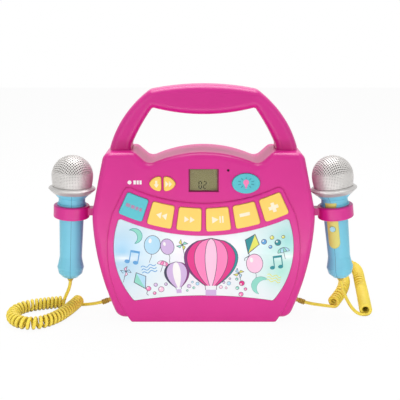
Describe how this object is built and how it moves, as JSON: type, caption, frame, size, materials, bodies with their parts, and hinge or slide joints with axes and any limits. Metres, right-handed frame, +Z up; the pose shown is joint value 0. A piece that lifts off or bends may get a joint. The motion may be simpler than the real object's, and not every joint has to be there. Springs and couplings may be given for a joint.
{
  "type": "karaoke machine",
  "caption": "Toy karaoke machine with a rounded case, carrying handle, fan of push keys, light panel and hand microphones on curly cords in side clips.",
  "frame": {"origin": "middle of the standing face under the case", "axes": "+X to the right seen from the front, +Y to the back, +Z up"},
  "size_m": [0.4312, 0.2119, 0.2567],
  "materials": {
    "case_pink": "moulded, satin gloss",
    "key_yellow": "moulded gloss",
    "key_teal": "moulded gloss",
    "panel_print": "printed translucent sheet",
    "diffuser_white": "frosted",
    "reflector_white": "moulded matt",
    "window_clear": "clear",
    "display_grey": "liquid crystal",
    "board_green": "lacquered laminate",
    "membrane_grey": "silicone",
    "black_plastic": "matt",
    "steel_plain": "plated",
    "mic_blue": "moulded gloss",
    "mic_silver": "silver paint",
    "plate_yellow": "moulded gloss",
    "talk_blue": "moulded gloss",
    "cord_yellow": "soft sheath"
  },
  "bodies": {
    "case": {"front_shell": "case_pink", "rear_shell": "case_pink", "handle_front_half": "case_pink", "handle_rear_half": "case_pink", "left_holder": "case_pink", "right_holder": "case_pink", "speaker_grille": "case_pink", "light_panel": "panel_print", "light_diffuser": "diffuser_white", "reflector_tray": "reflector_white", "battery_box": "reflector_white", "display_window": "window_clear", "display_module": "display_grey", "main_board": "board_green", "lamp_board": "board_green", "key_membrane": "membrane_grey", "pickup_capsule": "black_plastic", "power_switch_body": "black_plastic", "speaker_cone": "black_plastic", "speaker_frame": "steel_plain", "speaker_magnet": "steel_plain", "battery_contacts": "steel_plain", "case_screws": "steel_plain", "inner_screws": "steel_plain", "left_case_gland": "cord_yellow", "right_case_gland": "cord_yellow", "left_case_lead": "cord_yellow", "right_case_lead": "cord_yellow", "left_curly_cord": "cord_yellow", "right_curly_cord": "cord_yellow", "left_mic_lead": "cord_yellow", "right_mic_lead": "cord_yellow"},
    "mode_button": {"mode_button": "key_teal"},
    "rewind_button": {"rewind_button": "key_yellow"},
    "forward_button": {"forward_button": "key_yellow"},
    "play_button": {"play_button": "key_yellow"},
    "volume_down_button": {"volume_down_button": "key_yellow"},
    "volume_up_button": {"volume_up_button": "key_yellow"},
    "record_button": {"record_button": "key_yellow"},
    "replay_button": {"replay_button": "key_yellow"},
    "light_button": {"light_button": "key_teal"},
    "left_mic": {"left_mic_head": "mic_silver", "left_mic_collar": "mic_silver", "left_mic_left_half": "mic_blue", "left_mic_right_half": "mic_blue", "left_mic_switch_plate": "plate_yellow", "left_mic_capsule": "black_plastic", "left_mic_gland": "cord_yellow"},
    "left_mic_talk_button": {"left_mic_talk_button": "talk_blue"},
    "right_mic": {"right_mic_head": "mic_silver", "right_mic_collar": "mic_silver", "right_mic_left_half": "mic_blue", "right_mic_right_half": "mic_blue", "right_mic_switch_plate": "plate_yellow", "right_mic_capsule": "black_plastic", "right_mic_gland": "cord_yellow"},
    "right_mic_talk_button": {"right_mic_talk_button": "talk_blue"},
    "battery_door": {"battery_door": "case_pink", "battery_door_screw": "steel_plain"},
    "power_switch": {"power_switch_knob": "black_plastic"}
  },
  "joints": [
    {"name": "mode_button_press", "type": "slide", "parent": "case", "child": "mode_button", "axis": [0, 1, 0], "range_m": [0, 0.0012], "stiffness_N_per_m": 400},
    {"name": "rewind_button_press", "type": "slide", "parent": "case", "child": "rewind_button", "axis": [0, 1, 0], "range_m": [0, 0.0012], "stiffness_N_per_m": 400},
    {"name": "forward_button_press", "type": "slide", "parent": "case", "child": "forward_button", "axis": [0, 1, 0], "range_m": [0, 0.0012], "stiffness_N_per_m": 400},
    {"name": "play_button_press", "type": "slide", "parent": "case", "child": "play_button", "axis": [0, 1, 0], "range_m": [0, 0.0012], "stiffness_N_per_m": 400},
    {"name": "volume_down_button_press", "type": "slide", "parent": "case", "child": "volume_down_button", "axis": [0, 1, 0], "range_m": [0, 0.0012], "stiffness_N_per_m": 400},
    {"name": "volume_up_button_press", "type": "slide", "parent": "case", "child": "volume_up_button", "axis": [0, 1, 0], "range_m": [0, 0.0012], "stiffness_N_per_m": 400},
    {"name": "record_button_press", "type": "slide", "parent": "case", "child": "record_button", "axis": [0, 1, 0], "range_m": [0, 0.0012], "stiffness_N_per_m": 400},
    {"name": "replay_button_press", "type": "slide", "parent": "case", "child": "replay_button", "axis": [0, 1, 0], "range_m": [0, 0.0012], "stiffness_N_per_m": 400},
    {"name": "light_button_press", "type": "slide", "parent": "case", "child": "light_button", "axis": [0, 1, 0], "range_m": [0, 0.0012], "stiffness_N_per_m": 400},
    {"name": "left_mic_lift", "type": "slide", "parent": "case", "child": "left_mic", "axis": [0.061, 0, 0.9981], "range_m": [0, 0.095], "deforming": ["left_mic_lead"]},
    {"name": "left_mic_talk_press", "type": "slide", "parent": "left_mic", "child": "left_mic_talk_button", "axis": [0.1389, -0.9903, -0.0085], "range_m": [0, 0.0007], "stiffness_N_per_m": 300},
    {"name": "right_mic_lift", "type": "slide", "parent": "case", "child": "right_mic", "axis": [-0.1219, 0, 0.9925], "range_m": [0, 0.095], "deforming": ["right_mic_lead"]},
    {"name": "right_mic_talk_press", "type": "slide", "parent": "right_mic", "child": "right_mic_talk_button", "axis": [0.4812, 0.8746, 0.0591], "range_m": [0, 0.0007], "stiffness_N_per_m": 300},
    {"name": "battery_door_hinge", "type": "hinge", "parent": "case", "child": "battery_door", "pos_m": [0, 0.033, 0.017], "axis": [-1, 0, 0], "range_deg": [0, 100]},
    {"name": "power_switch_slide", "type": "slide", "parent": "case", "child": "power_switch", "axis": [1, 0, 0], "range_m": [0, 0.005]}
  ]
}
